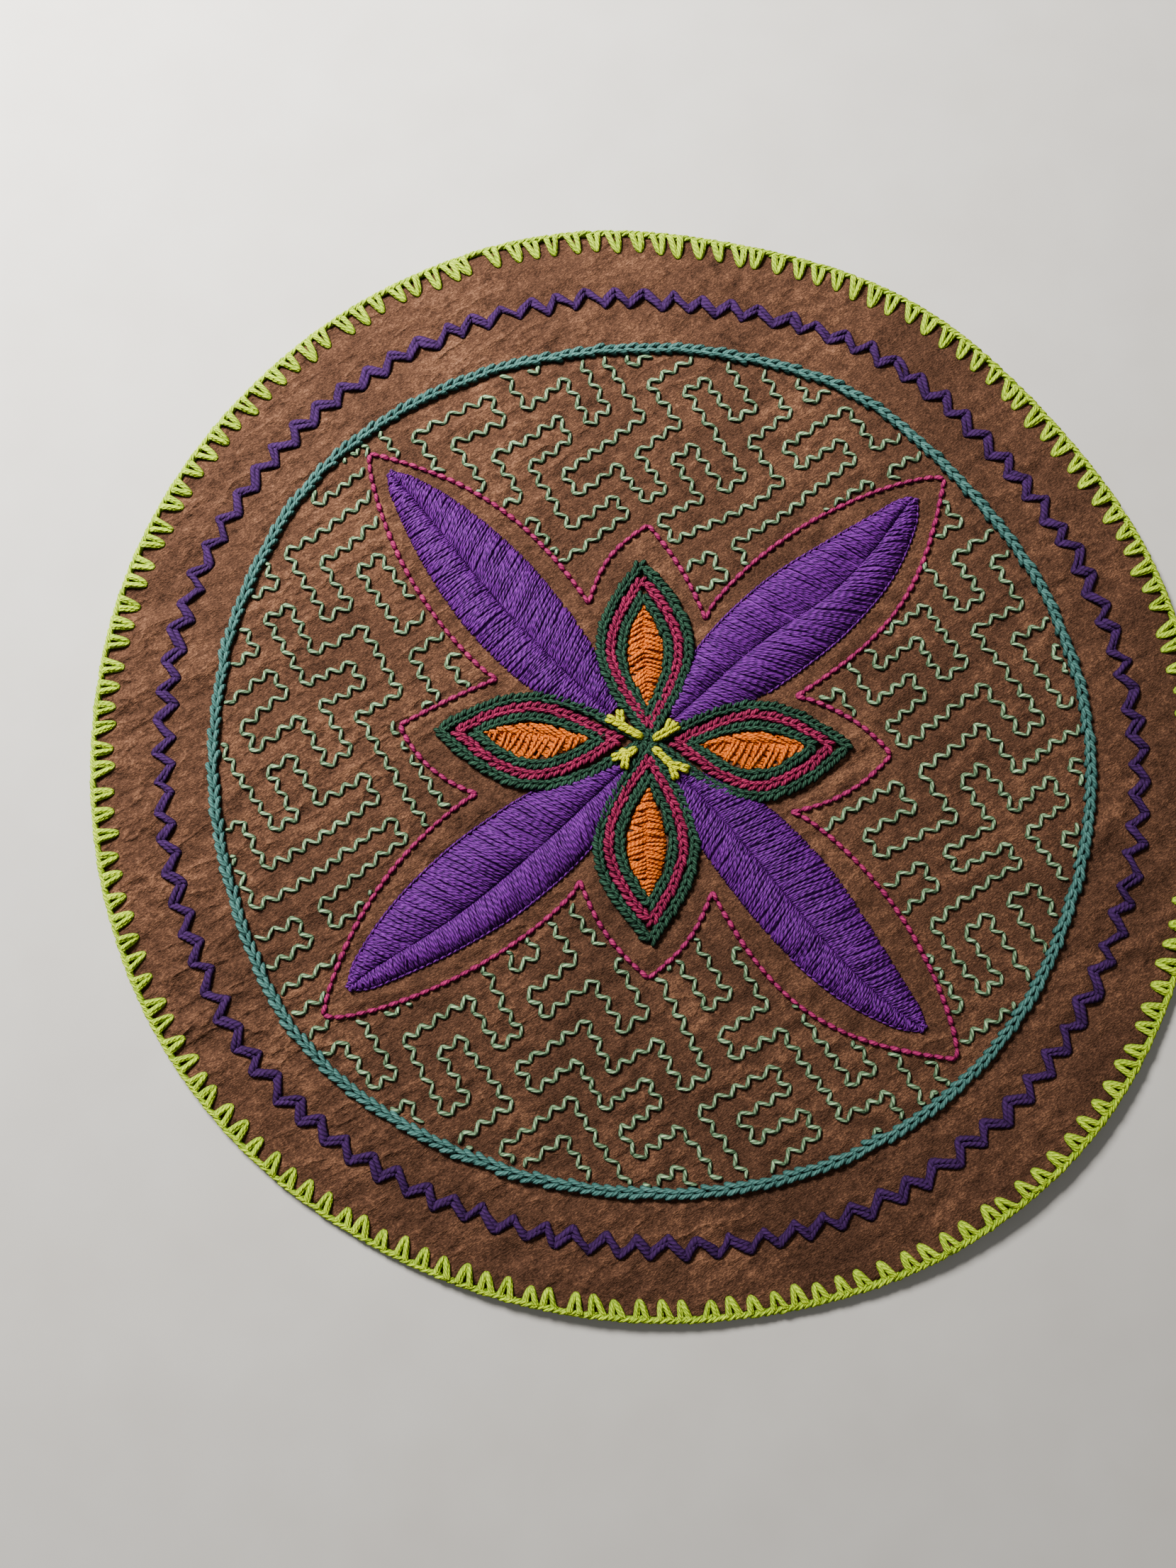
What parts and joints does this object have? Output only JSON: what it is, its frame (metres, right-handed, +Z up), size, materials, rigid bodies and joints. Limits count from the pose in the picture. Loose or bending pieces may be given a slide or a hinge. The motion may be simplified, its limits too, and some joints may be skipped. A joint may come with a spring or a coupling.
{
  "type": "embroidered round tapestry",
  "caption": "Small round cotton tapestry laid flat: dyed disc with a stitched yarn edging, a zigzag ring, a chain ring and a raised embroidered flower inside a star line.",
  "frame": {"origin": "middle of the stitched rings, on the underside that the cloth rests on", "axes": "+Z up from the resting surface, +Y towards the top petal, +X towards the right petal"},
  "size_m": [0.3238, 0.3212, 0.0046],
  "materials": {
    "brown_cloth": "matt, dyed",
    "lime_yarn": "matt",
    "indigo_yarn": "soft sheen",
    "teal_yarn": "soft sheen",
    "magenta_yarn": "soft sheen",
    "violet_yarn": "satin sheen",
    "green_yarn": "soft sheen",
    "orange_yarn": "soft sheen",
    "yellow_yarn": "soft sheen"
  },
  "bodies": {
    "root": {"cloth": "brown_cloth", "edging": "lime_yarn", "zigzag_line": "indigo_yarn", "ring_line": "teal_yarn", "star_line": "magenta_yarn", "leaf_ne": "violet_yarn", "leaf_nw": "violet_yarn", "leaf_sw": "violet_yarn", "leaf_se": "violet_yarn", "petal_e_outer": "green_yarn", "petal_e_middle": "magenta_yarn", "petal_e_inner": "green_yarn", "petal_e_fill": "orange_yarn", "petal_n_outer": "green_yarn", "petal_n_middle": "magenta_yarn", "petal_n_inner": "green_yarn", "petal_n_fill": "orange_yarn", "petal_w_outer": "green_yarn", "petal_w_middle": "magenta_yarn", "petal_w_inner": "green_yarn", "petal_w_fill": "orange_yarn", "petal_s_outer": "green_yarn", "petal_s_middle": "magenta_yarn", "petal_s_inner": "green_yarn", "petal_s_fill": "orange_yarn", "centre_ne": "yellow_yarn", "centre_nw": "yellow_yarn", "centre_sw": "yellow_yarn", "centre_se": "yellow_yarn"}
  },
  "joints": []
}
